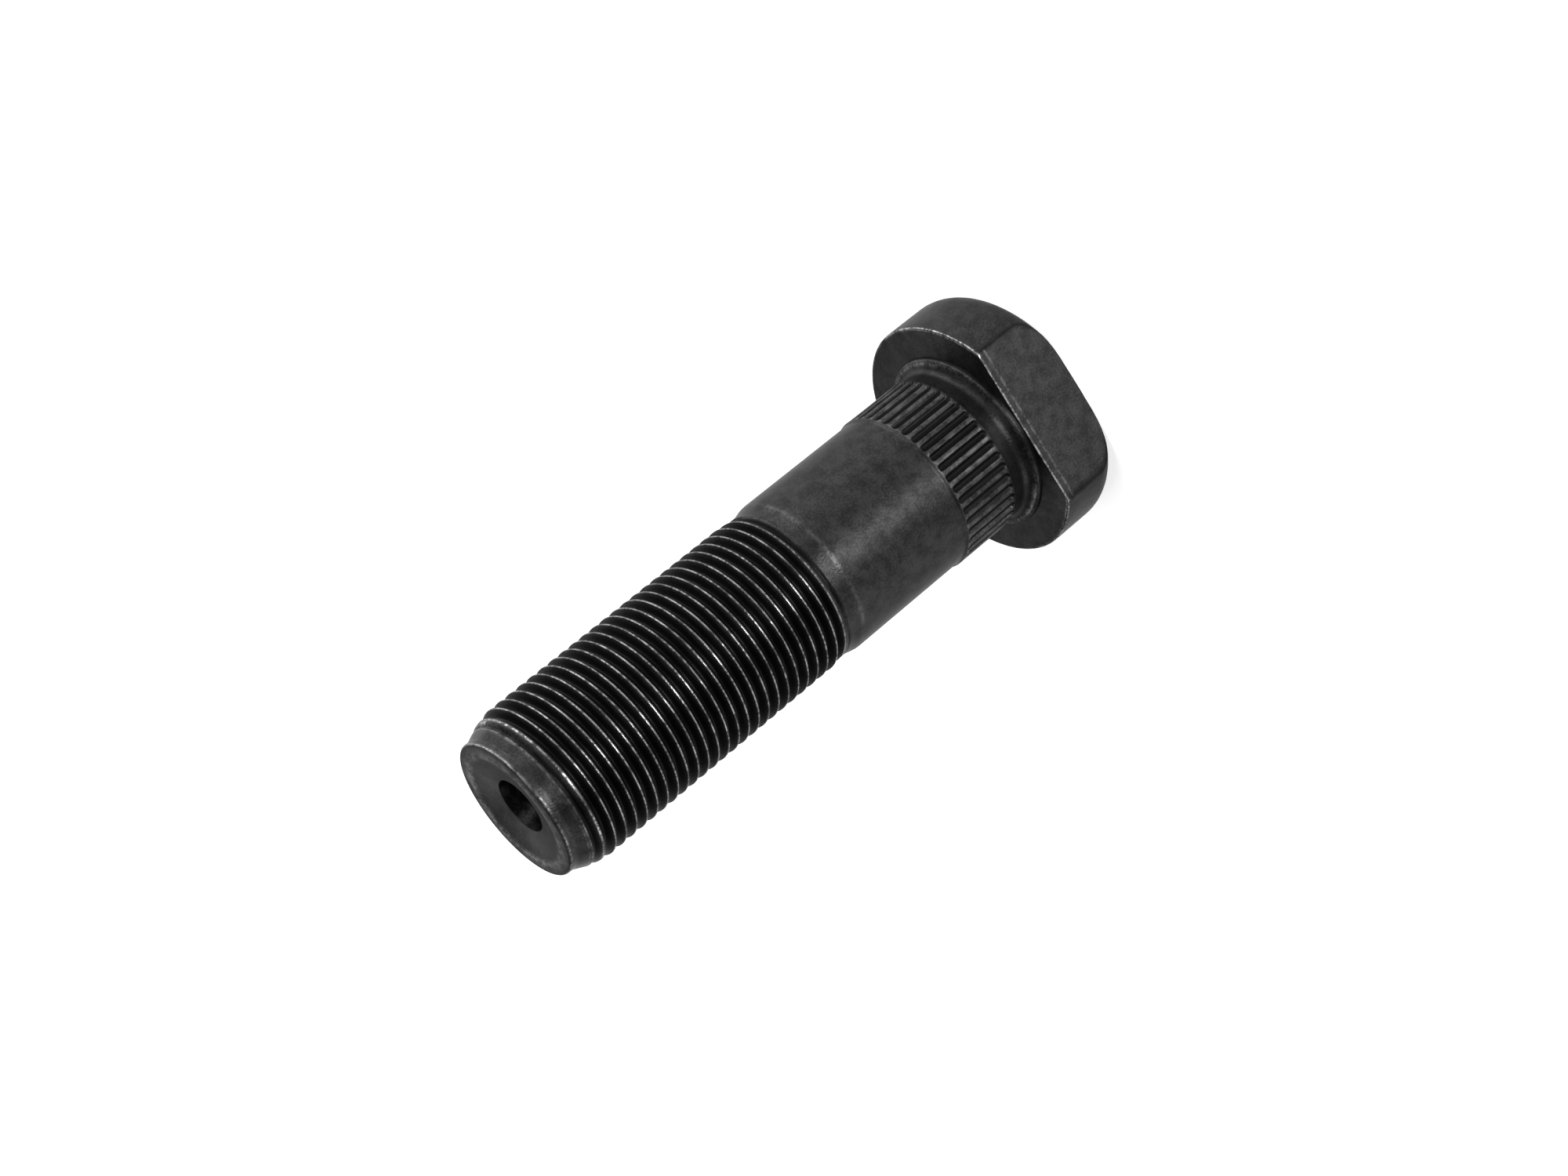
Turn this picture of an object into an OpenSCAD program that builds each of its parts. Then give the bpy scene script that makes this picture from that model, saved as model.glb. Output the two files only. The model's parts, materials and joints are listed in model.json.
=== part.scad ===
// Press-in wheel bolt with a clipped round head, a knurled neck and a metric thread.
// The bolt stands on its head: the origin is the centre of the head's end face,
// +Z runs up to the tip, and the clipped flat of the head faces -Y.
// The thread is drawn as a plain bar at its crest diameter.

/* [Thread and tip] */
// Crest diameter of the thread
thread_d = 19.74; // [16:0.01:24]
// Length from the tip to the start of the plain shank
thread_length = 42.7; // [25:0.1:52]
// Depth of the waist, below the crests, where the thread runs out
waist_depth = 0.25; // [0.1:0.01:0.6]
// Length of the waist where the thread runs out
waist_length = 0.9; // [0.5:0.1:2]
// Length of the slope from the thread's crests down to the waist
fade_length = 1.5; // [0.5:0.1:3]
// Length of the slope from the waist up to the shank
lead_in_length = 2; // [0.3:0.1:3]
// Length of the gentle slope on which the thread rises out of the chamfer
rise_length = 1.9; // [0.5:0.1:4]
// Depth of that slope's lower end, below the crests
rise_depth = 0.47; // [0.2:0.01:0.8]
// Length of the chamfer between that slope and the nose
chamfer_length = 1.8; // [0.5:0.1:4]
// Length of the plain nose at the tip
nose_length = 1; // [0.6:0.1:3]
// Depth of the nose, below the crests
nose_depth = 1.3; // [0.9:0.01:2]
// Radius of the soft edge between the nose and the end face
tip_edge_round = 0.35; // [0.1:0.05:0.5]
// Width of the flat rim between the nose's edge and the shallow dish
rim_width = 1.57; // [0.6:0.01:2.5]
// Depth of the dish, if it ran on to the axis
dish_depth = 1.15; // [0.5:0.05:2]
// Diameter of the centre hole
hole_d = 6.6; // [3:0.1:8]
// Depth of the centre hole's straight wall, below the end face
hole_depth = 3.2; // [2.2:0.1:4]
// Full angle of the centre hole's conical bottom
hole_cone_angle = 120; // [90:5:150]

/* [Shank] */
// Length from the bearing face under the head to the tip
under_head_length = 70; // [56:1:120]
// Amount by which the shank is wider than the thread's crests
shank_oversize = 0.22; // [0:0.02:1]

/* [Knurl] */
// Height of the knurl's ridges above the shank
ridge_height = 0.2; // [0:0.01:0.6]
// Length of the knurl band with its end slopes
knurl_length = 8.35; // [5:0.05:12]
// Length of the slope at each end of the band
knurl_slope = 0.3; // [0.1:0.05:1]
// Number of grooves round the band
knurl_count = 44; // [24:1:54]
// Width of a groove, measured at the ridges
groove_width = 0.92; // [0.6:0.02:1.1]
// Depth of a groove below the ridges
groove_depth = 0.42; // [0.2:0.01:0.5]
// Length left between the end of a groove and the slope of the band
groove_margin = 0.05; // [0:0.05:1]
// Turn of the first groove about +Z from the middle of the flat, in degrees
groove_turn = 3.2; // [0:0.1:8]

/* [Neck and collar under the head] */
// Distance from the bearing face to the start of the knurl band
knurl_offset = 2.95; // [2.5:0.05:5]
// Depth of the neck below the shank
neck_depth = 0.15; // [0:0.01:0.6]
// Radius of the hollow fillet from the neck out to the collar's top
neck_fillet = 1; // [0.5:0.05:1.2]
// Radial width of the collar beyond the neck
collar_width = 1.5; // [1.4:0.05:2.5]
// Height of the collar above the bearing face
collar_height = 0.6; // [0.5:0.05:0.9]
// Radius of the collar's outer edge
collar_round = 0.45; // [0.1:0.05:0.45]

/* [Head] */
// Width of the ring-shaped bearing face outside the collar
bearing_width = 3.87; // [2:0.01:8]
// Thickness of the head, from its end face to its bearing face
head_height = 9.1; // [6:0.1:14]
// Radius of the large round between the head's side and its end face
head_round = 3.5; // [1:0.1:4.5]
// Radius of the small round between the head's side and its bearing face
bearing_round = 0.3; // [0.1:0.05:1]
// Depth of the clipped flat, measured in from the head's side
flat_depth = 3.56; // [0.5:0.01:3.8]

/* [Hidden] */

// Facets of round shapes in a preview
$fn = 96;
// Length by which a cutter runs past the faces that it opens
spill = 1;
// Black phosphated steel
steel_black = "#2b2c2e";

// Radii, from the thread outwards
thread_r = thread_d / 2;
waist_r = thread_r - waist_depth;
rise_r = thread_r - rise_depth;
nose_r = thread_r - nose_depth;
dish_r = nose_r - rim_width;
hole_r = hole_d / 2;
shank_r = thread_r + shank_oversize / 2;
ridge_r = shank_r + ridge_height;
neck_r = shank_r - neck_depth;
collar_r = neck_r + collar_width;
head_r = collar_r + bearing_width;

// Heights, from the head's end face up to the tip
bearing_z = head_height;
collar_z = bearing_z + collar_height;
knurl_low_z = bearing_z + knurl_offset;
knurl_high_z = knurl_low_z + knurl_length;
tip_z = bearing_z + under_head_length;
shank_high_z = tip_z - thread_length;
waist_low_z = shank_high_z + lead_in_length;
waist_high_z = waist_low_z + waist_length;
crest_low_z = waist_high_z + fade_length;
nose_z = tip_z - nose_length;
rise_z = nose_z - chamfer_length;
crest_high_z = rise_z - rise_length;

// A round cutter of this radius leaves a groove of the stated width and depth
cutter_r = (pow(groove_width / 2, 2) + pow(groove_depth, 2)) / (2 * groove_depth);
cutter_axis_r = ridge_r - groove_depth + cutter_r;
// Heights of the centres of the two ball ends of a cutter
groove_low_z = knurl_low_z + knurl_slope + groove_margin + groove_width / 2;
groove_high_z = knurl_high_z - knurl_slope - groove_margin - groove_width / 2;

// The dish is part of a ball, which passes through the dish's edge and its depth at the axis
dish_ball_r = (pow(dish_r, 2) + pow(dish_depth, 2)) / (2 * dish_depth);
dish_ball_z = tip_z - dish_depth + dish_ball_r;
hole_cone_height = hole_r / tan(hole_cone_angle / 2);

// Half section of a round disc whose outer edges are rounded, from low_z to high_z
module disc_section(r, low_z, high_z, low_round, high_round) {
    translate([0, low_z]) square([r - low_round, low_round]);
    translate([0, low_z + low_round]) square([r, high_z - low_z - low_round - high_round]);
    translate([0, high_z - high_round]) square([r - high_round, high_round]);
    translate([r - low_round, low_z + low_round]) circle(r = low_round);
    translate([r - high_round, high_z - high_round]) circle(r = high_round);
}

// Half section of the stem, from inside the head up to the tip
module stem_section() {
    polygon([
        [0, bearing_z / 2],
        [neck_r, bearing_z / 2],
        [neck_r, knurl_low_z],
        [ridge_r, knurl_low_z + knurl_slope],
        [ridge_r, knurl_high_z - knurl_slope],
        [shank_r, knurl_high_z],
        [shank_r, shank_high_z],
        [waist_r, waist_low_z],
        [waist_r, waist_high_z],
        [thread_r, crest_low_z],
        [thread_r, crest_high_z],
        [rise_r, rise_z],
        [nose_r, nose_z],
        [nose_r, tip_z - tip_edge_round],
        [nose_r - tip_edge_round, tip_z],
        [0, tip_z]
    ]);
    translate([nose_r - tip_edge_round, tip_z - tip_edge_round]) circle(r = tip_edge_round);
}

// Half section of the collar on the bearing face
module collar_section() {
    translate([0, bearing_z / 2]) square([collar_r, collar_z - collar_round - bearing_z / 2]);
    translate([0, collar_z - collar_round]) square([collar_r - collar_round, collar_round]);
    translate([collar_r - collar_round, collar_z - collar_round]) circle(r = collar_round);
}

// Half section of the hollow fillet between the neck and the collar's top
module fillet_section() {
    difference() {
        translate([neck_r / 2, collar_z - collar_round])
            square([neck_r / 2 + neck_fillet, neck_fillet + collar_round]);
        translate([neck_r + neck_fillet, collar_z + neck_fillet]) circle(r = neck_fillet);
    }
}

// Stem with its collar and fillet, turned from one section
module stem() {
    rotate_extrude() {
        stem_section();
        collar_section();
        fillet_section();
    }
}

// Forged head, rounded at its end face and clipped flat on one side
module head() {
    difference() {
        rotate_extrude() disc_section(head_r, 0, bearing_z, head_round, bearing_round);
        translate([-head_r - spill, -head_r - spill, -spill])
            cube([2 * (head_r + spill), flat_depth + spill, bearing_z + 2 * spill]);
    }
}

// Round cutter with ball ends for one knurl groove
module groove_cutter() {
    translate([0, 0, groove_low_z]) cylinder(r = cutter_r, h = groove_high_z - groove_low_z);
    translate([0, 0, groove_low_z]) sphere(r = cutter_r);
    translate([0, 0, groove_high_z]) sphere(r = cutter_r);
}

// Ring of cutters, the first of them turned from the middle of the flat
module knurl_grooves() {
    for (i = [0 : knurl_count - 1])
        rotate([0, 0, groove_turn + i * 360 / knurl_count])
            translate([0, -cutter_axis_r, 0]) groove_cutter();
}

// Dish and centre hole in the end face at the tip, as one turned cutter
module tip_recess() {
    rotate_extrude() {
        intersection() {
            translate([0, dish_ball_z]) circle(r = dish_ball_r);
            translate([0, tip_z - dish_depth - spill]) square([dish_r + spill, dish_depth + 2 * spill]);
        }
        polygon([
            [0, tip_z - hole_depth - hole_cone_height],
            [hole_r, tip_z - hole_depth],
            [hole_r, tip_z],
            [0, tip_z]
        ]);
    }
}

// The whole bolt, one forged piece
module wheel_bolt() {
    color(steel_black)
        difference() {
            union() {
                head();
                stem();
            }
            knurl_grooves();
            tip_recess();
        }
}

wheel_bolt();
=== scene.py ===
# %% [markdown]
# # A press-in wheel bolt
# The real bolt is one piece of steel. Its head is forged and clipped flat on one side, its knurl and
# its thread are rolled, and all of it has a black phosphate coat that has worn bright on the highest
# edges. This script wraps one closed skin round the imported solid, from the middle of the head's end
# face to the bottom of the hole in the tip, and then gives it a finish, a floor, lamps and a camera.

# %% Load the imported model
import json
import math

import bpy
import numpy as np
from mathutils import Matrix, Vector


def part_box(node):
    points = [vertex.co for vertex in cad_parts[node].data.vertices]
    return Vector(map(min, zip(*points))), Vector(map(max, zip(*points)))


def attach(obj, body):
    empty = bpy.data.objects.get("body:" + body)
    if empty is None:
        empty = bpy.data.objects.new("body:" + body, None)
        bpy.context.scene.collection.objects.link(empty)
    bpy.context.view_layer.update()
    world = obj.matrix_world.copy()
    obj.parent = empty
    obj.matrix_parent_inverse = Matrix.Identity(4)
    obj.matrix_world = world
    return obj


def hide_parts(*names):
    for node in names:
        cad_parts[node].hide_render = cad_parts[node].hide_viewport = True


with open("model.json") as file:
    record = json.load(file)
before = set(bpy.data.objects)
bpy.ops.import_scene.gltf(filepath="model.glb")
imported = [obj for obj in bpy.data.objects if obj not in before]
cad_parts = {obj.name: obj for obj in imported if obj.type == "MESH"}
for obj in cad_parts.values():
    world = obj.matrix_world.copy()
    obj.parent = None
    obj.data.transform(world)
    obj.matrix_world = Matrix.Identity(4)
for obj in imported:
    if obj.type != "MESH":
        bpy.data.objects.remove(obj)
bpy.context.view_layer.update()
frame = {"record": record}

MM = 0.001

# %% [markdown]
# ## Sizes
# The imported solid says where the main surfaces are: the box of the node gives the head's radius, the
# distance to the flat and the tip, and the mounts give the bearing face, the shank and the thread.
# Only the small forms between them are written here, in millimetres, the unit of the real drawing.

# %% Sizes from the frame
mounts = {mount["name"]: mount for mount in frame["record"]["mounts"]}
low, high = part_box("wheel_bolt")
head_r = high.x / MM
flat_distance = -low.y / MM
tip_z = high.z / MM
bearing_z = mounts["bearing_face"]["pos_m"][2] / MM


def pin_span(name):
    """Radius, lower end and upper end of a pin mount, in millimetres."""
    middle = mounts[name]["pos_m"][2] / MM
    half = mounts[name]["dims"]["length_mm"] / 2
    return mounts[name]["dims"]["r_mm"], middle - half, middle + half


shank_r, shank_low_z, shank_high_z = pin_span("shank")
crest_r, crest_low_z, crest_high_z = pin_span("thread")
print(f"head radius {head_r:.2f}, flat at {flat_distance:.2f}, tip at {tip_z:.2f}")
print(f"shank {shank_r:.2f} from {shank_low_z:.2f} to {shank_high_z:.2f}")
print(f"thread {crest_r:.2f} from {crest_low_z:.2f} to {crest_high_z:.2f}")

# %% Sizes of the small forms, in millimetres and degrees
head_round = 3.5
bearing_round = 0.3
corner_width = 0.16
collar_height = 0.6
collar_width = 1.5
collar_round = 0.45
neck_depth = 0.15
neck_fillet = 1.0
knurl_offset = 2.95
knurl_slope = 0.3
ridge_height = 0.2
lead_in_length = 2.0
waist_length = 0.9
waist_depth = 0.25
rise_depth = 0.47
chamfer_length = 1.8
nose_length = 1.0
nose_depth = 1.3
tip_edge_round = 0.35
rim_width = 1.57
dish_depth = 1.15
hole_r = 3.3
hole_depth = 3.2
hole_cone_half_angle = 60

# %% Radii and heights worked out from them
neck_r = shank_r - neck_depth
collar_r = neck_r + collar_width
ridge_r = shank_r + ridge_height
waist_r = crest_r - waist_depth
rise_r = crest_r - rise_depth
nose_r = crest_r - nose_depth
dish_r = nose_r - rim_width
collar_z = bearing_z + collar_height
knurl_low_z = bearing_z + knurl_offset
knurl_high_z = shank_low_z
waist_low_z = shank_high_z + lead_in_length
waist_high_z = waist_low_z + waist_length
nose_z = tip_z - nose_length
rise_z = nose_z - chamfer_length
hole_cone_height = hole_r / math.tan(math.radians(hole_cone_half_angle))
print(f"knurl from {knurl_low_z:.2f} to {knurl_high_z:.2f}, waist at {waist_low_z:.2f}")

# %% [markdown]
# ## Rings round an axis
# A turned part is a stack of rings, and each ring is a row of a grid: the row says how far along the
# half section it lies, and the column says how far it is turned. Blender's Spin or Screw could turn
# a profile too, but here the rings change shape on the way (the flat, the knurl, the thread), so the
# grid is worked out with numpy, whole arrays at a time. Columns turn from the middle of the flat.
# Each point also carries two masks for the finish: one where the coat wears off and where light and
# highlights are painted bright, and one where shade is painted dark into the hollows and corners.

# %% Points, masks and rings
COLUMNS = 176
skin_points = []
skin_crest = []
skin_hollow = []
skin_faces = []


def on_bolt(r, turn, z):
    """Points at radius r and height z, turned about the axis from -Y towards +X.

    X is r times the sine of the turn, and Y is minus r times its cosine.
    """
    r, turn, z = np.broadcast_arrays(r, turn, z)
    return np.stack([r * np.sin(turn), -r * np.cos(turn), z], axis=-1)


def add_rings(points, crest=0.0, hollow=0.0):
    """Adds an array of points (rings, columns, 3) with its two masks, and returns their numbers."""
    start = sum(len(part) for part in skin_points)
    flat = points.reshape(-1, 3)
    skin_points.append(flat)
    for store, mask in ((skin_crest, crest), (skin_hollow, hollow)):
        store.append(np.broadcast_to(mask, points.shape[:-1]).reshape(-1))
    return np.arange(start, start + len(flat)).reshape(points.shape[:-1])


def arc(centre_r, centre_z, radius, start, stop, count):
    """Radii and heights on an arc of the half section, from one angle in degrees to another.

    They are the centre plus the radius times the angle's cosine and sine.
    """
    angle = np.radians(np.linspace(start, stop, count))
    return centre_r + radius * np.cos(angle), centre_z + radius * np.sin(angle)


def smooth_step(x):
    """0 below 0, 1 above 1, and between them a soft S, three times x squared less twice x cubed."""
    x = np.clip(x, 0, 1)
    return x * x * (3 - 2 * x)


column_numbers = np.arange(COLUMNS)
columns_from_flat = np.minimum(column_numbers, COLUMNS - column_numbers)
even_turn = 2 * np.pi * column_numbers / COLUMNS
signed_turn = np.where(even_turn > np.pi, even_turn - 2 * np.pi, even_turn)
print("columns", COLUMNS, "each turned by", round(360 / COLUMNS, 3), "degrees")

# %% Joins between rings


def join_rings(ids):
    """Quads from each ring up to the next one, closed all the way round."""
    right = np.roll(ids, -1, axis=1)
    quads = np.stack([ids[:-1], right[:-1], right[1:], ids[1:]], axis=-1).reshape(-1, 4)
    skin_faces.extend(quads.tolist())


def join_finer(coarse, fine, finer_above):
    """Faces with five corners between a ring and one with twice its columns."""
    middle = fine[1::2]
    left = fine[0::2]
    right = np.roll(left, -1)
    next_coarse = np.roll(coarse, -1)
    if finer_above:
        faces = np.stack([coarse, next_coarse, right, middle, left], axis=-1)
    else:
        faces = np.stack([left, middle, right, next_coarse, coarse], axis=-1)
    skin_faces.extend(faces.tolist())


def close_with_fan(pole, ring, ring_above):
    """Triangles from one point to a ring round it."""
    right = np.roll(ring, -1)
    centre = np.full_like(ring, pole)
    order = [centre, right, ring] if ring_above else [centre, ring, right]
    skin_faces.extend(np.stack(order, axis=-1).tolist())


# %% [markdown]
# ## The forged head
# The head is a thick disc with a large round at its end face, clipped flat on one side so that it
# can't turn against a shoulder of the hub. A Boolean cut would leave long thin triangles at the
# flat's corners. Here the columns slide along each ring instead, until two of them stand on either
# side of the corner, and every point takes the smaller of the disc's radius and the flat's distance.
# The two columns leave a narrow bevel, along which shade is painted as a dark line, like the one at the
# corner of the real head.

# %% The flat and its corners
CORNER_COLUMN = 18
SMALLEST_CORNER = math.radians(12)
LEAST_FACING = 0.05


def turned_to_corner(ring_r):
    """Turn of every column, with the flat's corner always between the same two columns.

    The corner of a ring of radius r is turned by the arc cosine of the flat's distance over r.
    """
    ring_r = np.asarray(ring_r)[:, None]
    corner = np.arccos(np.clip(flat_distance / ring_r, -1, 1))
    corner = np.maximum(corner, SMALLEST_CORNER)
    bevel = corner_width / 2 / ring_r
    size = np.abs(signed_turn)[None, :]
    inner = even_turn[CORNER_COLUMN - 1]
    outer = even_turn[CORNER_COLUMN]
    on_flat = size * (corner - bevel) / inner
    on_disc = np.pi - (np.pi - size) * (np.pi - corner - bevel) / (np.pi - outer)
    return np.sign(signed_turn) * np.where(size <= inner, on_flat, on_disc)


def clipped(ring_r, turn):
    """Radius of a disc whose side is clipped: the disc's, or the flat's distance over the cosine."""
    facing = np.cos(turn)
    flat_r = np.where(facing > LEAST_FACING, flat_distance / np.maximum(facing, LEAST_FACING), np.inf)
    return np.minimum(np.asarray(ring_r)[:, None], flat_r)


# %% The head's rings
# The side has close rings just below its upper edge, for the faint worn line that runs there
trim_distance = 0.7
trim_steps = np.array([-0.25, -0.12, 0.0, 0.12, 0.25])
end_shares = np.array([0.06, 0.3, 0.55, 0.8, 0.95])[:, None]
face_shares = np.array([0.97, 0.8, 0.55, 0.3, 0.1, 0.0])[:, None]

round_r, round_z = arc(head_r - head_round, head_round, head_round, -90, 0, count=13)
edge_r, edge_z = arc(head_r - bearing_round, bearing_z - bearing_round, bearing_round, 0, 90, count=6)
trim_z = edge_z[0] - trim_distance + trim_steps
side_z = np.append(np.linspace(head_round, trim_z[0], 5)[1:-1], trim_z)
rim_r = np.concatenate([round_r, np.full(len(side_z), head_r), edge_r])
rim_z = np.concatenate([round_z, side_z, edge_z])
rim_turn = turned_to_corner(rim_r)
clipped_r = clipped(rim_r, rim_turn)
rim_points = on_bolt(clipped_r, rim_turn, rim_z[:, None])

end_turn = signed_turn + end_shares * (rim_turn[0] - signed_turn)
end_points = on_bolt(end_shares * (head_r - head_round), end_turn, 0.0)
face_turn = signed_turn + face_shares * (rim_turn[-1] - signed_turn)
face_r = collar_r + face_shares * (clipped_r[-1] - collar_r)
face_points = on_bolt(face_r, face_turn, bearing_z)
head_points = np.concatenate([end_points, rim_points, face_points])
print("head rings", head_points.shape[:2])

# %% The head's wear and painted shade
edge_wear = np.array([0.0, 0.7, 1.2, 1.2, 0.9, 0.3])
trim_wear = np.array([0.0, 0.12, 0.26, 0.12, 0.0])
corner_shade = 0.6

edge_start = len(end_points) + len(round_r) + len(side_z)
on_flat = columns_from_flat < CORNER_COLUMN
at_corner = (columns_from_flat == CORNER_COLUMN - 1) | (columns_from_flat == CORNER_COLUMN)
head_crest = np.zeros(head_points.shape[:2])
head_crest[edge_start : edge_start + len(edge_wear)] = edge_wear[:, None]
head_crest[edge_start - len(trim_wear) : edge_start, on_flat] = trim_wear[:, None]
# Painted shade darkens the bevel at the flat's corners
head_hollow = np.zeros(head_points.shape[:2])
head_hollow[len(end_points) : edge_start, at_corner] = corner_shade

end_pole = add_rings(on_bolt(0.0, 0.0, 0.0)[None, None, :])[0, 0]
head_ids = add_rings(head_points, crest=head_crest, hollow=head_hollow)
close_with_fan(end_pole, head_ids[0], ring_above=True)
join_rings(head_ids)
print("columns on the flat", int(on_flat.sum()), "and at its corners", int(at_corner.sum()))

# %% [markdown]
# ## Collar, fillet and neck
# A low round-edged collar lies on the bearing face, and a hollow fillet leads from it into the neck.
# They are plain turned forms, so their rings keep evenly turned columns. Shade is painted into the
# collar's foot and the neck, and the collar's top is worn a little and painted lighter as a highlight.

# %% The collar's rings
neck_step = 0.25
collar_edge_r, collar_edge_z = arc(
    collar_r - collar_round, collar_z - collar_round, collar_round, 0, 90, count=5
)
fillet_r, fillet_z = arc(neck_r + neck_fillet, collar_z + neck_fillet, neck_fillet, 270, 180, count=9)
collar_ring_r = np.concatenate([collar_edge_r, fillet_r, [neck_r]])[:, None]
collar_ring_z = np.concatenate([collar_edge_z, fillet_z, [fillet_z[-1] + neck_step]])[:, None]
print(f"collar radius {collar_r:.2f}, neck radius {neck_r:.2f}")

# %% The collar's painted shade, wear and painted highlight, ring by ring from its foot to the neck
# Painted shade at the foot and in the neck, and on the top a little wear with a painted highlight
foot_shade = [0.9, 0.4]
top_wear_and_highlight = [0.15, 0.35, 0.6, 0.6, 0.3, 0.1]
neck_shade = [0.2, 0.5, 0.7, 0.7]

collar_hollow = np.zeros((len(collar_ring_r), 1))
collar_hollow[: len(foot_shade), 0] = foot_shade
collar_hollow[-len(neck_shade) :, 0] = neck_shade
collar_crest = np.zeros((len(collar_ring_r), 1))
collar_crest[len(foot_shade) : len(foot_shade) + len(top_wear_and_highlight), 0] = top_wear_and_highlight
collar_ids = add_rings(
    on_bolt(collar_ring_r, even_turn, collar_ring_z), crest=collar_crest, hollow=collar_hollow
)
join_rings(np.concatenate([head_ids[-1:], collar_ids]))
print("collar rings", collar_ids.shape)

# %% [markdown]
# ## The knurl
# The knurl grips the bore that the bolt is pressed into. Each groove is what a round cutter with
# ball ends leaves. The ring gets twice the columns here, eight to a groove, and they slide a little
# so that the same columns always stand on a ridge, on a groove's wall and on its floor.

# %% The knurl's columns
KNURL_COUNT = 44
GROOVE_TURN = math.radians(3.2)
from_groove = np.array([0.0, 0.2, 0.36, 0.45])

tooth_turn = 2 * np.pi / KNURL_COUNT
fine_columns = 2 * COLUMNS
fine_turn = 2 * np.pi * np.arange(fine_columns) / fine_columns
half_slots = from_groove / ridge_r
slot_turn = np.concatenate([half_slots, [tooth_turn / 2], tooth_turn - half_slots[:0:-1]])
knurl_turn = (GROOVE_TURN + tooth_turn * np.arange(KNURL_COUNT)[:, None] + slot_turn).reshape(-1)
print("columns to a groove", len(slot_turn))

# %% The knurl's grooves
groove_width = 0.92
groove_depth = 0.42
groove_margin = 0.05
cutter_r = ((groove_width / 2) ** 2 + groove_depth**2) / (2 * groove_depth)
cutter_axis_r = ridge_r - groove_depth + cutter_r
groove_low_z = knurl_low_z + knurl_slope + groove_margin + groove_width / 2
groove_high_z = knurl_high_z - knurl_slope - groove_margin - groove_width / 2


def groove_floor(turn, z):
    """Radius at which the cutter's surface lies, or infinity where the cutter doesn't reach.

    Across a groove it is the cutter's axis radius less the square root of r squared less the
    distance squared, counting the distance round the bolt and, past the ball centres, along it.
    """
    across = (np.mod(turn - GROOVE_TURN + tooth_turn / 2, tooth_turn) - tooth_turn / 2) * ridge_r
    along = np.maximum(np.maximum(groove_low_z - z, z - groove_high_z), 0)
    inside = cutter_r**2 - across**2 - along**2
    return np.where(inside > 0, cutter_axis_r - np.sqrt(np.maximum(inside, 0)), np.inf)


# %% The knurl's rings
ball_steps = groove_width / 2 * np.sin(np.radians([90, 75, 60, 45, 30, 15]))
knurl_z = np.concatenate([
    [knurl_low_z, knurl_low_z + knurl_slope / 2, knurl_low_z + knurl_slope],
    groove_low_z - ball_steps,
    np.linspace(groove_low_z, groove_high_z, 8),
    groove_high_z + ball_steps[::-1],
    [knurl_high_z - knurl_slope, knurl_high_z - knurl_slope / 2, knurl_high_z],
])[:, None]
band_low_z = knurl_low_z + knurl_slope
band_high_z = knurl_high_z - knurl_slope
band_r = np.interp(
    knurl_z,
    [knurl_low_z, band_low_z, band_high_z, knurl_high_z],
    [neck_r, ridge_r, ridge_r, shank_r],
)
knurl_r = np.minimum(band_r, groove_floor(knurl_turn, knurl_z))
print("groove floor at", round(float(knurl_r.min()), 2))

# %% The knurl's wear and painted shade
ridge_wear = 0.2
end_wear = 0.3
wear_fade = 0.2
ridge_top = 0.7
NEAR = 0.01

height = (knurl_r - (ridge_r - groove_depth)) / groove_depth
in_band = (knurl_z > band_low_z - NEAR) & (knurl_z < band_high_z + NEAR)
on_ridge = (knurl_z > groove_low_z - wear_fade) & (knurl_z < band_high_z - NEAR)
past_groove = smooth_step((knurl_z - groove_high_z) / wear_fade)
wear_along = ridge_wear + (end_wear - ridge_wear) * past_groove
knurl_crest = np.where(on_ridge, wear_along * smooth_step((height - ridge_top) / (1 - ridge_top)), 0.0)
# Shade is painted into the grooves, darkest on their floors
knurl_hollow = np.where(in_band, 1 - smooth_step(height), 0.0)

# %% Join the knurl to the neck and the shank
# The columns slide from even turns to the knurl's own over two rings on either side of the band
slide_shares = np.array([0.0, 0.5])[:, None]
before_steps = np.array([0.2, 0.4])[:, None]
after_steps = np.array([0.25, 0.5])[:, None]

slide = knurl_turn - fine_turn
before = on_bolt(neck_r, fine_turn + slide_shares * slide, collar_ring_z[-1] + before_steps)
after = on_bolt(shank_r, fine_turn + slide_shares[::-1] * slide, knurl_high_z + after_steps)
# The neck's rings carry on the neck's painted shade
before_ids = add_rings(before, hollow=neck_shade[-1])
knurl_ids = add_rings(on_bolt(knurl_r, knurl_turn, knurl_z), crest=knurl_crest, hollow=knurl_hollow)
after_ids = add_rings(after)
join_rings(np.concatenate([before_ids, knurl_ids, after_ids]))
join_finer(collar_ids[-1], before_ids[0], finer_above=True)
print("knurl rings", knurl_ids.shape)

# %% [markdown]
# ## The shank and the valley behind the thread
# The shank is a plain cylinder. Where the thread runs out, the blank sinks in a soft valley and
# rises again to the thread. A Bevel modifier would round only the corners of straight slopes, so one
# function gives the radius of the whole blank, and the rings of the thread use it again further on.

# %% The turned blank


def blank_radius(z):
    """Radius of the turned blank, before the thread is rolled into it.

    It is a straight line between the named radii, except that the shank sinks to the waist on a soft S.
    """
    straight = np.interp(
        z,
        [waist_high_z, crest_low_z, crest_high_z, rise_z, nose_z, tip_z],
        [waist_r, crest_r, crest_r, rise_r, nose_r, nose_r],
    )
    sunk = smooth_step((z - shank_high_z) / (waist_low_z - shank_high_z))
    return straight + (shank_r - waist_r) * (1 - sunk)


blank_ends = blank_radius(np.array([shank_high_z, waist_high_z]))
print("blank radius at the shank and at the waist", np.round(blank_ends, 2))

# %% The shank's rings
PITCH = 1.5
FIRST_CREST_Z = 38.08
thread_gap = 0.1
after_knurl = 0.9
ring_spacing = 4
before_valley = 3
# A faint bright ring on the shoulder is a painted highlight, with a little wear
shoulder_wear_and_highlight = [0.08, 0.16, 0.08]

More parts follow.
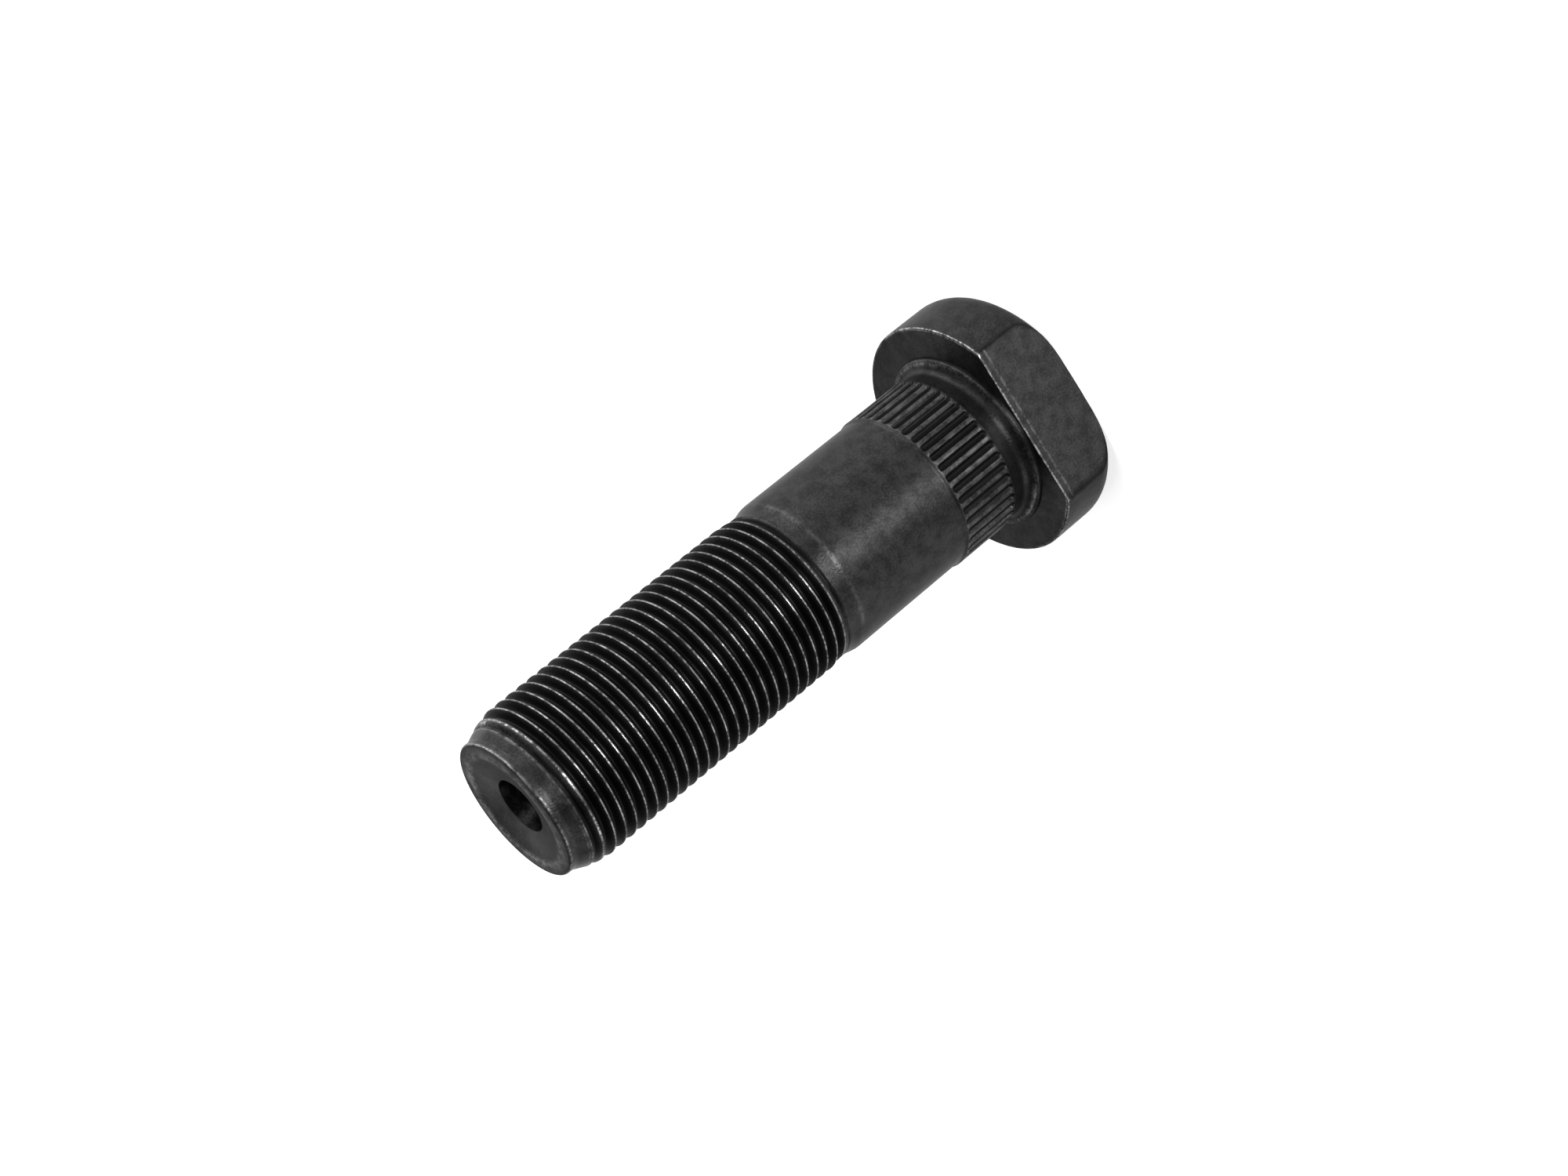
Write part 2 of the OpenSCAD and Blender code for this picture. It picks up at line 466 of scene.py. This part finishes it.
plain_z = [
    knurl_high_z + after_knurl,
    knurl_high_z + ring_spacing,
    (knurl_high_z + shank_high_z) / 2,
    shank_high_z - before_valley,
]
shoulder_z = np.linspace(shank_high_z, FIRST_CREST_Z - thread_gap, 9)
shank_ring_z = np.concatenate([plain_z, shoulder_z])[:, None]
shoulder_start = len(plain_z) + 1
shank_crest = np.zeros((len(shank_ring_z), 1))
shank_crest[shoulder_start : shoulder_start + len(shoulder_wear_and_highlight), 0] = shoulder_wear_and_highlight
shank_ids = add_rings(
    on_bolt(blank_radius(shank_ring_z), even_turn, shank_ring_z), crest=shank_crest
)
join_finer(shank_ids[0], after_ids[-1], finer_above=False)
join_rings(shank_ids)
print("shank rings", shank_ids.shape)

# %% [markdown]
# ## The thread
# The thread is M20 x 1.5, right-handed. A Screw modifier could turn one tooth along a helix, but its
# ends would stay open and stand off the bolt. Here the grid itself is sheared: each ring climbs by
# one pitch on its way round and meets the ring one pitch further up. The crest and root then run
# exactly along rings, so a few of them draw a clean tooth. At both ends the rings squeeze into a
# wedge, from nothing to a full pitch, which closes the helix on a level ring.

# %% The thread's form
FLANK_SLOPE = math.tan(math.radians(30))
thread_depth = 0.92
crest_half_width = PITCH / 16
crest_round = 0.05
root_round = 0.12
run_out_start = waist_low_z - 0.6
run_out_length = 2.0


def soft_min(a, b, width):
    """The smaller of a and b, with the corner between them rounded over that width.

    A share goes from 0 to 1 as a sinks below b. The result is b plus the share of a less b, less the
    width times the share times the rest of it.
    """
    mix = np.clip(0.5 + 0.5 * (b - a) / width, 0, 1)
    return b + (a - b) * mix - width * mix * (1 - mix)


def thread_form(turn, z):
    """Radius of the thread, distance from the middle of a crest, and depth that a root has there.

    The radius is the lower of the blank and the tooth's flanks. The flanks stand at 30 degrees, so
    they drop by the distance from the crest over the tangent of 30. The tool that rolled them drew
    back where the thread runs out, which lifts the flanks clear.
    """
    blank = blank_radius(z)
    climbed = z - FIRST_CREST_Z - PITCH * turn / (2 * np.pi)
    away = np.abs(np.mod(climbed + PITCH / 2, PITCH) - PITCH / 2)
    drop = soft_min((away - crest_half_width) / FLANK_SLOPE, thread_depth, root_round)
    drawn_back = thread_depth * (1 - smooth_step((z - run_out_start) / run_out_length))
    radius = soft_min(blank, crest_r - drop + drawn_back, crest_round)
    return radius, away, blank - (crest_r - thread_depth + drawn_back)


# %% The thread's rings
TURNS_OF_RINGS = 26
half_tooth_z = np.array([0, 0.06, 0.1, 0.15, 0.36, 0.57, 0.66, 0.75])

tooth_z = np.concatenate([half_tooth_z, PITCH - half_tooth_z[-2:0:-1]])
per_turn = len(tooth_z)
climb = np.arange(COLUMNS + 1) / COLUMNS
turn = 2 * np.pi * climb
wedge = tooth_z / PITCH
low_wedge = FIRST_CREST_Z + PITCH * wedge[:, None] * climb
steps = np.arange(TURNS_OF_RINGS * per_turn)
main_rows = FIRST_CREST_Z + PITCH * (steps // per_turn) + tooth_z[steps % per_turn]
main_rows = main_rows[:, None] + PITCH * climb
top_z = FIRST_CREST_Z + PITCH * (TURNS_OF_RINGS + 1)
high_wedge = top_z - PITCH * (1 - np.append(wedge, 1)[:, None]) * (1 - climb)
thread_z = np.concatenate([low_wedge, main_rows, high_wedge])
thread_r, away, cut = thread_form(turn, thread_z)
print("thread rings", thread_z.shape, "top ring at", round(top_z, 3))

# %% The thread's wear, painted highlight and painted shade
worn_width = 0.12
hollow_depth = 0.4
lip_width = 0.22
lip_wear_and_highlight = 1.4
lip_least_depth = 0.2

on_crest = 1 - smooth_step((away - crest_half_width / 3) / worn_width)
thread_crest = on_crest * smooth_step(cut / (thread_depth / 2))
# A thin bright line follows the corner where the last groove runs out on the chamfer; it is partly
# wear and partly a painted highlight of that edge
flank_r = crest_r - (away - crest_half_width) / FLANK_SLOPE
on_lip = np.exp(-(((flank_r - blank_radius(thread_z)) / lip_width) ** 2))
on_lip = np.where(thread_z > rise_z, lip_wear_and_highlight * on_lip * smooth_step(cut / lip_least_depth), 0.0)
thread_crest = np.maximum(thread_crest, on_lip)
# Shade is painted into the roots, darker the deeper they lie below the blank
thread_hollow = smooth_step((blank_radius(thread_z) - thread_r) / hollow_depth)
numbers = add_rings(on_bolt(thread_r, turn, thread_z), crest=thread_crest, hollow=thread_hollow)

# %% [markdown]
# ## Close the helix
# The grid of the thread has one column too many: its last column is the first one again, a pitch
# higher. Merge by Distance could weld them, but it might also weld close rings. Instead every point
# of the last column takes the number of its twin, and the quads that the wedges squeeze to a
# triangle lose a corner.

# %% Weld the seam by number
row, column = np.meshgrid(np.arange(len(thread_z)), np.arange(COLUMNS + 1), indexing="ij")
last_row = len(thread_z) - 1
home_row = np.where(column == 0, np.maximum(row, per_turn), row)
home_row = np.where(column == COLUMNS, np.minimum(row + per_turn, last_row), home_row)
ids = numbers[home_row, column % COLUMNS]
quads = np.stack([ids[:-1, :-1], ids[:-1, 1:], ids[1:, 1:], ids[1:, :-1]], axis=-1).reshape(-1, 4)
left_closed = quads[:, 0] == quads[:, 3]
right_closed = quads[:, 1] == quads[:, 2]
skin_faces.extend(quads[~(left_closed | right_closed)].tolist())
skin_faces.extend(quads[left_closed & ~right_closed][:, [0, 1, 2]].tolist())
skin_faces.extend(quads[right_closed & ~left_closed][:, [0, 1, 3]].tolist())
first_ring = ids[0, :-1]
last_ring = ids[-1, :-1]
join_rings(np.stack([shank_ids[-1], first_ring]))
print("quads squeezed to triangles", int((left_closed ^ right_closed).sum()))

# %% [markdown]
# ## The tip
# Past the thread a cone runs to the end face, which is dished by the forging press and has a short
# hole in its middle. The rings go on over the round edge, down the dish and the hole's wall, and end
# in a fan on the hole's conical bottom.

# %% The tip's rings
hole_edge_round = 0.12
cone_shares = np.array([0.4, 0.8])

tip_arc_r, tip_arc_z = arc(
    nose_r - tip_edge_round, tip_z - tip_edge_round, tip_edge_round, 0, 90, count=6
)
dish_ball_r = (dish_r**2 + dish_depth**2) / (2 * dish_depth)
dish_ball_z = tip_z - dish_depth + dish_ball_r
dish_ring_r = np.linspace(dish_r, hole_r + hole_edge_round, 7)
dish_ring_z = dish_ball_z - np.sqrt(dish_ball_r**2 - dish_ring_r**2)
lip_r, lip_z = arc(
    hole_r + hole_edge_round, dish_ring_z[-1] - hole_edge_round, hole_edge_round, 90, 180, count=4
)
wall_z = np.linspace(lip_z[-1], tip_z - hole_depth, 4)[1:]
tip_ring_r = np.concatenate([
    tip_arc_r, dish_ring_r, lip_r[1:], np.full(len(wall_z), hole_r), hole_r * (1 - cone_shares),
])
tip_ring_z = np.concatenate([
    tip_arc_z, dish_ring_z, lip_z[1:], wall_z, tip_z - hole_depth - hole_cone_height * cone_shares,
])

# %% The tip's wear and the hole's painted light
nose_wear = [0.3, 0.7, 0.6, 0.2]
dish_edge_wear = 0.5
# The hole's wall and bottom are painted lighter, as if lit
hole_painted_light = 0.35

tip_crest = np.zeros(len(tip_ring_r))
tip_crest[: len(nose_wear)] = nose_wear
tip_crest[len(tip_arc_r)] = dish_edge_wear
# Painted light in the hole
tip_crest[-len(wall_z) - len(cone_shares) :] = hole_painted_light
tip_ids = add_rings(
    on_bolt(tip_ring_r[:, None], even_turn, tip_ring_z[:, None]), crest=tip_crest[:, None]
)
hole_bottom = on_bolt(0.0, 0.0, tip_z - hole_depth - hole_cone_height)
hole_pole = add_rings(hole_bottom[None, None, :], crest=hole_painted_light)[0, 0]
join_rings(np.concatenate([last_ring[None, :], tip_ids]))
close_with_fan(hole_pole, tip_ids[-1], ring_above=False)
print("tip rings", tip_ids.shape)

# %% [markdown]
# ## One closed mesh
# All rings become one mesh. Points that no face uses are dropped, the masks go in as attributes that
# the finish reads, and edges sharper than a set angle are marked so that shading breaks there.

# %% Build the bolt
SHARP_ANGLE = math.radians(50)


def build_bolt():
    """Makes the mesh object from the collected rings and faces."""
    points = np.concatenate(skin_points) * MM
    sizes = np.array([len(face) for face in skin_faces])
    corners = np.concatenate([np.array(face) for face in skin_faces])
    used, corners = np.unique(corners, return_inverse=True)
    mesh = bpy.data.meshes.new("wheel_bolt_skin")
    mesh.vertices.add(len(used))
    mesh.vertices.foreach_set("co", points[used].astype(np.float32).ravel())
    mesh.loops.add(len(corners))
    mesh.loops.foreach_set("vertex_index", corners.astype(np.int32))
    mesh.polygons.add(len(sizes))
    mesh.polygons.foreach_set("loop_start", np.append(0, np.cumsum(sizes)[:-1]).astype(np.int32))
    mesh.update(calc_edges=True)
    for name, parts in (("crest", skin_crest), ("hollow", skin_hollow)):
        attribute = mesh.attributes.new(name, "FLOAT", "POINT")
        attribute.data.foreach_set("value", np.concatenate(parts)[used].astype(np.float32))
    mesh.shade_smooth()
    mesh.set_sharp_from_angle(angle=SHARP_ANGLE)
    problems = mesh.validate(verbose=True)
    bolt = bpy.data.objects.new("wheel_bolt_skin", mesh)
    bpy.context.scene.collection.objects.link(bolt)
    triangles = int((sizes - 2).sum())
    print("points", len(used), "faces", len(sizes), "triangles", triangles, "problems", problems)
    return bolt


bolt = build_bolt()
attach(bolt, "root")
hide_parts("wheel_bolt")

# %% [markdown]
# ## Black phosphated steel
# The coat is a matt dark grey with a fine grain. It is thin, so the crests of the thread and the
# edges of the head have worn through to bright steel. The same bright steel, partly as wear and
# partly as painted highlights, marks the collar's top, the shank's shoulder and the corner on the
# chamfer, and it is painted into the centre hole as light. A dark colour is painted as shade into the
# knurl's grooves, the thread's roots, the flat's corners, the collar's foot and the neck. The masks
# from the mesh say where, and noise breaks them up. One Principled shader does it all: colour,
# roughness and metal follow the wear and the painted highlights. A mix of a plain matt black and a
# clear gloss would look like paint. A dark metal with a rough, stretched reflection looks like coated
# steel, because the tool marks under the coat still run round the bolt and spread every light along it.

# %% Values of the finish
COAT_DARK = (0.018, 0.018, 0.018, 1)
COAT_PALE = (0.037, 0.037, 0.037, 1)
# Painted shade for the grooves, roots, corners, the collar's foot and the neck
PAINTED_SHADE_COLOUR = (0.006, 0.006, 0.006, 1)
# Bare steel where the coat is worn, also used for the painted highlights and the hole's painted light
WORN_STEEL_AND_HIGHLIGHT = (0.24, 0.24, 0.24, 1)
EDGE_TINT = (0.70, 0.70, 0.70, 1)
COAT_METALLIC = 0.95
COAT_ROUGHNESS = 0.42
WORN_ROUGHNESS = 0.27
TURNING_STREAK = 0.75
QUARTER_TURN = 0.25
LEAST_WEAR = 0.12

# Sizes of the noises, in waves to the metre, and the span of their values that is used
GRAIN_SCALE = 4200.0
FLECK_SCALE = 2600.0
CLOUD_SCALE = 700.0
COAT_DETAIL = 3.0
FLECK_DETAIL = 2.0
NOISE_LOW = 0.38
NOISE_HIGH = 0.62
COAT_SPAN = (0.8, 1.2)
FLECK_WEAR = (-0.1, 0.8)
CLOUD_WEAR = (-0.2, 0.6)
GRAIN_STRENGTH = 0.9
GRAIN_HEIGHT = 0.03 * MM

# The places of the colour sockets of a Mix node
MIX_FIRST = 6
MIX_SECOND = 7
MIX_RESULT = 2

# %% Helpers for nodes


def set_or_link(tree, socket, value):
    """Links a socket to an input, or sets the input to a plain value."""
    if isinstance(value, bpy.types.NodeSocket):
        tree.links.new(value, socket)
    else:
        socket.default_value = value


def node(tree, kind, **inputs):
    """Adds a node and sets or links its inputs by name, with _ for a space."""
    new = tree.nodes.new(kind)
    for name, value in inputs.items():
        set_or_link(tree, new.inputs[name.replace("_", " ")], value)
    return new


def math_node(tree, operation, first, second):
    """Adds a Math node on two values or sockets, and returns its output."""
    new = tree.nodes.new("ShaderNodeMath")
    new.operation = operation
    set_or_link(tree, new.inputs[0], first)
    set_or_link(tree, new.inputs[1], second)
    return new.outputs[0]


def spread(tree, value, start, stop, to_start=0.0, to_stop=1.0):
    """Maps a value between start and stop to another span, and holds it there."""
    new = node(
        tree, "ShaderNodeMapRange", Value=value,
        From_Min=start, From_Max=stop, To_Min=to_start, To_Max=to_stop,
    )
    return new.outputs["Result"]


def mixed(tree, factor, first, second):
    """Mixes two colours, each a tuple or a socket, and returns the output."""
    new = tree.nodes.new("ShaderNodeMix")
    new.data_type = "RGBA"
    tree.links.new(factor, new.inputs["Factor"])
    set_or_link(tree, new.inputs[MIX_FIRST], first)
    set_or_link(tree, new.inputs[MIX_SECOND], second)
    return new.outputs[MIX_RESULT]


def mask(tree, name):
    """Output of one of the masks that the mesh carries."""
    new = node(tree, "ShaderNodeAttribute")
    new.attribute_name = name
    return new.outputs["Fac"]


# %% The finish


def noise(tree, place, scale, detail):
    """Value of a noise texture at a place, about 0.5 on average."""
    return node(tree, "ShaderNodeTexNoise", Vector=place, Scale=scale, Detail=detail).outputs["Fac"]


def wear_and_highlight_of(tree, fleck, cloud):
    """The mask of wear and painted highlights times the sum of flecks and clouds, held between a little and
    1.
    """
    flecks = spread(tree, fleck, NOISE_LOW, NOISE_HIGH, *FLECK_WEAR)
    clouds = spread(tree, cloud, NOISE_LOW, NOISE_HIGH, *CLOUD_WEAR)
    broken = math_node(tree, "MINIMUM", math_node(tree, "ADD", flecks, clouds), 1.0)
    broken = math_node(tree, "MAXIMUM", broken, LEAST_WEAR)
    return math_node(tree, "MULTIPLY", mask(tree, "crest"), broken)


def steel_finish():
    """Black phosphate over steel, worn bright on the highest edges, with painted highlights, light and
    shade.
    """
    material = bpy.data.materials.new("phosphated_steel")
    material.use_nodes = True
    tree = material.node_tree
    shader = tree.nodes["Principled BSDF"]
    place = tree.nodes.new("ShaderNodeTexCoord").outputs["Object"]
    grain = noise(tree, place, GRAIN_SCALE, COAT_DETAIL)
    cloud = noise(tree, place, CLOUD_SCALE, COAT_DETAIL)
    fleck = noise(tree, place, FLECK_SCALE, FLECK_DETAIL)
    wear_and_highlight_share = wear_and_highlight_of(tree, fleck, cloud)
    mottle = spread(tree, math_node(tree, "ADD", grain, cloud), *COAT_SPAN)
    coat = mixed(tree, mottle, COAT_DARK, COAT_PALE)
    # Painted shade, from the mesh's shade mask
    coat = mixed(tree, mask(tree, "hollow"), coat, PAINTED_SHADE_COLOUR)
    # Worn steel and painted highlights over the coat
    tree.links.new(mixed(tree, wear_and_highlight_share, coat, WORN_STEEL_AND_HIGHLIGHT), shader.inputs["Base Color"])
    tree.links.new(spread(tree, wear_and_highlight_share, 0, 1, COAT_METALLIC, 1.0), shader.inputs["Metallic"])
    tree.links.new(spread(tree, wear_and_highlight_share, 0, 1, COAT_ROUGHNESS, WORN_ROUGHNESS), shader.inputs["Roughness"])
    around = tree.nodes.new("ShaderNodeTangent")
    around.direction_type = "RADIAL"
    around.axis = "Z"
    tree.links.new(around.outputs["Tangent"], shader.inputs["Tangent"])
    shader.inputs["Specular Tint"].default_value = EDGE_TINT
    shader.inputs["Anisotropic"].default_value = TURNING_STREAK
    shader.inputs["Anisotropic Rotation"].default_value = QUARTER_TURN
    bump = node(tree, "ShaderNodeBump", Height=grain, Strength=GRAIN_STRENGTH, Distance=GRAIN_HEIGHT)
    tree.links.new(bump.outputs["Normal"], shader.inputs["Normal"])
    print("finish", material.name, "nodes", len(tree.nodes))
    return material


bolt.data.materials.append(steel_finish())

# %% [markdown]
# ## Camera
# The photograph was taken with a short telephoto lens from the side of the tip, a little above the
# middle, with the camera turned so that the bolt lies across the frame. The bolt stands on its head
# here, so the camera is rolled instead. Keyframes or a Track To constraint could aim it, but a place
# worked out from two angles and a distance is easy to read and to change.

# %% Aim and place
CAMERA_TURN = 13.96
CAMERA_HEIGHT = 25.13
CAMERA_DISTANCE = 298.95
CAMERA_AIM = (0.193, 0.167, 38.846)
CAMERA_ROLL = 129.21
LENS = 62.3
SENSOR_WIDTH = 36
CLIP_START = 10 * MM


def aimed(place, aim, roll):
    """Matrix of a camera or lamp at place that looks at aim, rolled about its own line of sight."""
    forward = (aim - place).normalized()
    side = forward.cross(Vector((0, 0, 1))).normalized()
    up = side.cross(forward)
    basis = Matrix((side, up, -forward)).transposed()
    return Matrix.Translation(place) @ (Matrix.Rotation(roll, 3, forward) @ basis).to_4x4()


def seen_from(turn, height, distance, aim):
    """Point at a distance from aim, turned from -Y towards +X and raised, both in degrees."""
    turn, height = math.radians(turn), math.radians(height)
    away = Vector((math.sin(turn) * math.cos(height), -math.cos(turn) * math.cos(height), math.sin(height)))
    return aim + distance * away


# %% Camera
aim = Vector(CAMERA_AIM) * MM
place = seen_from(CAMERA_TURN, CAMERA_HEIGHT, CAMERA_DISTANCE * MM, aim)
camera = bpy.data.objects.new("camera", bpy.data.cameras.new("camera"))
bpy.context.scene.collection.objects.link(camera)
camera.data.lens = LENS
camera.data.sensor_width = SENSOR_WIDTH
camera.data.clip_start = CLIP_START
camera.matrix_world = aimed(place, aim, math.radians(CAMERA_ROLL))
bpy.context.scene.camera = camera
print("camera at", [round(c / MM, 1) for c in place])

# %% [markdown]
# ## Floor and light
# The floor is plain white paper. Lamps alone would have to be very strong to make paper pure white,
# and they would wash out a black object, so the paper also glows for the rays that only look: camera,
# gloss and glass. Close to the bolt it glows less, which leaves room for the bolt's soft shadow.

# %% Floor
FLOOR_REACH = 12.0
PAPER_COLOUR = (0.85, 0.85, 0.85, 1)
PAPER_ROUGHNESS = 0.9
GLOW_NEAR = 0.66
GLOW_FAR = 1.0
GLOW_START = 0.12
GLOW_END = 0.45
WHITE = (1, 1, 1, 1)


def looking_rays(tree):
    """1 for rays from the camera, in gloss or through glass, and 0 for light that is scattered."""
    path = tree.nodes.new("ShaderNodeLightPath").outputs
    seen = math_node(tree, "MAXIMUM", path["Is Camera Ray"], path["Is Glossy Ray"])
    return math_node(tree, "MAXIMUM", seen, path["Is Transmission Ray"])


def floor_finish():
    """Matt white paper, whose glow rises with the distance from the bolt."""
    material = bpy.data.materials.new("white_paper")
    material.use_nodes = True
    tree = material.node_tree
    shader = tree.nodes["Principled BSDF"]
    shader.inputs["Base Color"].default_value = PAPER_COLOUR
    shader.inputs["Roughness"].default_value = PAPER_ROUGHNESS
    shader.inputs["Emission Color"].default_value = WHITE
    away = node(tree, "ShaderNodeVectorMath")
    away.operation = "LENGTH"
    tree.links.new(tree.nodes.new("ShaderNodeTexCoord").outputs["Object"], away.inputs[0])
    glow = spread(tree, away.outputs["Value"], GLOW_START, GLOW_END, GLOW_NEAR, GLOW_FAR)
    lift = math_node(tree, "MULTIPLY", looking_rays(tree), glow)
    tree.links.new(lift, shader.inputs["Emission Strength"])
    return material


corners = np.array([(-1, -1, 0), (1, -1, 0), (1, 1, 0), (-1, 1, 0)]) * FLOOR_REACH
floor_mesh = bpy.data.meshes.new("floor")
floor_mesh.from_pydata(corners.tolist(), [], [(0, 1, 2, 3)])
floor_mesh.materials.append(floor_finish())
floor = bpy.data.objects.new("floor", floor_mesh)
bpy.context.scene.collection.objects.link(floor)
print("floor from", corners[0].tolist(), "to", corners[2].tolist(), "metres")

# %% [markdown]
# ## Lamps
# The finish stretches every reflection along the bolt, so low softboxes show as upright bands on the
# shank: a small bright one in front, a wide one to the right, and weaker ones to the left and behind.
# Three high ones reach into the thread, the chamfer, the dish and the bearing face. An environment
# picture could light it all, but lamps with plain places and sizes can be changed one by one.

# %% Lamps
LAMP_DISTANCE = 400


def softbox(name, turn, height, width, tall, glow):
    """A rectangular lamp that looks at the middle of the bolt.

    Its power is the glow times pi times its area, so a glow of 1 is as bright as white paper.
    """
    lamp = bpy.data.lights.new(name, "AREA")
    lamp.shape = "RECTANGLE"
    lamp.size = width * MM
    lamp.size_y = tall * MM
    lamp.energy = glow * math.pi * lamp.size * lamp.size_y
    stand = bpy.data.objects.new(name, lamp)
    middle = Vector((0, 0, tip_z / 2 * MM))
    stand.matrix_world = aimed(seen_from(turn, height, LAMP_DISTANCE * MM, middle), middle, 0)
    stand.visible_camera = False
    bpy.context.scene.collection.objects.link(stand)
    print("lamp", name, "power", round(lamp.energy, 3))


softbox("front", turn=2, height=1, width=150, tall=70, glow=42.0)
softbox("right", turn=94, height=8, width=400, tall=140, glow=6.4)
softbox("right_back", turn=142, height=8, width=260, tall=140, glow=2.6)
softbox("left", turn=-70, height=8, width=260, tall=140, glow=3.0)
softbox("high", turn=60, height=32, width=200, tall=140, glow=4.6)
softbox("over", turn=25, height=62, width=130, tall=130, glow=2.6)
softbox("back", turn=-166, height=42, width=300, tall=200, glow=2.0)

# %% [markdown]
# ## Room
# The room is bright near the floor and dark above, as a light tent with an open top would be. The
# dark top gives the black steel its deep tone. A plain grey world would lift all of it evenly.

# %% Room
ROOM_LOW = 0.8
ROOM_HIGH = 0.1
ROOM_FADE = (0.02, 0.25)
world = bpy.data.worlds.new("studio")
bpy.context.scene.world = world
world.use_nodes = True
tree = world.node_tree
direction = tree.nodes.new("ShaderNodeTexCoord").outputs["Generated"]
heading = node(tree, "ShaderNodeSeparateXYZ", Vector=direction)
room = spread(tree, heading.outputs["Z"], *ROOM_FADE, ROOM_LOW, ROOM_HIGH)
tree.links.new(room, tree.nodes["Background"].inputs["Strength"])
tree.nodes["Background"].inputs["Color"].default_value = WHITE
bpy.context.scene.view_settings.view_transform = "Standard"
print("room glow from", ROOM_LOW, "near the floor to", ROOM_HIGH, "above")
